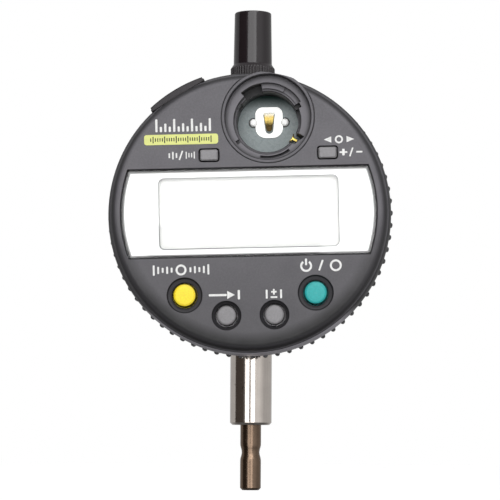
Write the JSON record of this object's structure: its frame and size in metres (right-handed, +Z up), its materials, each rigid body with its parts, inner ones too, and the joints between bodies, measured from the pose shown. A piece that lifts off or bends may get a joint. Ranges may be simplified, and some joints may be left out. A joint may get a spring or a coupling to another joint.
{
  "type": "digital dial indicator",
  "caption": "Digital dial indicator: round display unit that turns on a fixed case, with a stem, a sprung measuring spindle, buttons, a battery bay and a back lug.",
  "frame": {"origin": "on the spindle axis, halfway along the clamping diameter of the stem", "axes": "+Z up along the spindle, -Y out of the face towards the reader, +X to the reader's right"},
  "size_m": [0.0646, 0.0419, 0.1105],
  "materials": {
    "housing_plastic": "fine satin texture",
    "rim_plastic": "satin",
    "cover_plastic": "satin",
    "case_plastic": "fine satin texture",
    "cap_plastic": "gloss",
    "bronze": "machined",
    "seal_rubber": "matte",
    "hard_steel": "ground",
    "screw_steel": "plated",
    "stem_steel": "polished",
    "spindle_steel": "polished, bronze tint",
    "spring_steel": "drawn wire",
    "circuit_board": "solder resist",
    "chip_plastic": "moulded",
    "flex_film": "film",
    "clear_lens": "polished",
    "white_mask": "print",
    "lcd_panel": "polariser film",
    "white_plastic": "moulded",
    "white_film": "film",
    "gold_contact": "gold plate",
    "badge_label": "label",
    "grey_button": "fine texture",
    "yellow_button": "semi gloss",
    "teal_button": "semi gloss",
    "scale_glass": "glass with fine lines"
  },
  "bodies": {
    "case": {"case_body": "case_plastic", "bearing_ring": "bronze", "dust_seal": "seal_rubber", "rotation_stop_pin": "hard_steel", "back_cover": "case_plastic", "back_gasket": "seal_rubber", "back_cover_screws": "screw_steel", "stem": "stem_steel", "lower_bush": "bronze", "spindle_wiper": "seal_rubber", "upper_bush": "bronze", "guide_rail": "hard_steel", "guide_rail_screws": "screw_steel", "encoder_board": "circuit_board", "encoder_chip": "chip_plastic", "encoder_board_screws": "screw_steel", "sensor_ribbon": "flex_film", "return_spring": "spring_steel"},
    "display_unit": {"front_housing": "housing_plastic", "rear_plate": "rim_plastic", "rear_plate_screws": "screw_steel", "rim_seal": "seal_rubber", "hub_retainer": "hard_steel", "hub_retainer_screws": "screw_steel", "window_lens": "clear_lens", "window_mask": "white_mask", "lcd_glass": "lcd_panel", "lcd_reflector": "white_mask", "lcd_holder": "white_plastic", "contact_strips": "seal_rubber", "main_board": "circuit_board", "controller_chip": "chip_plastic", "quartz_crystal": "hard_steel", "switch_domes": "hard_steel", "battery_insulator": "white_film", "insulator_posts": "white_plastic", "battery_leaf_contact": "gold_contact", "battery_side_contact": "gold_contact", "data_socket": "chip_plastic", "data_socket_pins": "gold_contact", "face_badge": "badge_label", "display_ribbon": "flex_film"},
    "spindle": {"spindle": "spindle_steel", "spring_collar": "bronze", "stop_collar": "bronze", "stop_bumper": "seal_rubber", "scale_carrier": "hard_steel", "carrier_screw": "screw_steel", "linear_scale": "scale_glass", "guide_pin": "hard_steel"},
    "spindle_cap": {"spindle_cap": "cap_plastic"},
    "port_cover": {"port_cover": "cover_plastic"},
    "unit_button": {"unit_button": "grey_button"},
    "sign_button": {"sign_button": "grey_button"},
    "zero_button": {"zero_button": "yellow_button"},
    "power_button": {"power_button": "teal_button"},
    "preset_button": {"preset_button": "grey_button"},
    "tolerance_button": {"tolerance_button": "grey_button"}
  },
  "joints": [
    {"name": "display_turn", "type": "hinge", "parent": "case", "child": "display_unit", "pos_m": [0, -0.008, 0.03783], "axis": [0, 1, 0], "range_deg": [-163.6, 166.4]},
    {"name": "spindle_travel", "type": "slide", "parent": "case", "child": "spindle", "axis": [0, 0, 1], "range_m": [0, 0.0127], "stiffness_N_per_m": 39, "springref_m": -0.023, "deforming": ["return_spring"]},
    {"name": "cap_lift", "type": "slide", "parent": "case", "child": "spindle_cap", "axis": [0, 0, 1], "range_m": [0, 0.018]},
    {"name": "port_cover_pull", "type": "slide", "parent": "display_unit", "child": "port_cover", "axis": [-0.521, 0, 0.8536], "range_m": [0, 0.005]},
    {"name": "unit_press", "type": "slide", "parent": "display_unit", "child": "unit_button", "axis": [0, 1, 0], "range_m": [0, 0.0006], "stiffness_N_per_m": 600, "springref_m": -0.002},
    {"name": "sign_press", "type": "slide", "parent": "display_unit", "child": "sign_button", "axis": [0, 1, 0], "range_m": [0, 0.0006], "stiffness_N_per_m": 600, "springref_m": -0.002},
    {"name": "zero_press", "type": "slide", "parent": "display_unit", "child": "zero_button", "axis": [0, 1, 0], "range_m": [0, 0.0006], "stiffness_N_per_m": 600, "springref_m": -0.002},
    {"name": "power_press", "type": "slide", "parent": "display_unit", "child": "power_button", "axis": [0, 1, 0], "range_m": [0, 0.0006], "stiffness_N_per_m": 600, "springref_m": -0.002},
    {"name": "preset_press", "type": "slide", "parent": "display_unit", "child": "preset_button", "axis": [0, 1, 0], "range_m": [0, 0.0006], "stiffness_N_per_m": 600, "springref_m": -0.002},
    {"name": "tolerance_press", "type": "slide", "parent": "display_unit", "child": "tolerance_button", "axis": [0, 1, 0], "range_m": [0, 0.0006], "stiffness_N_per_m": 600, "springref_m": -0.002}
  ]
}
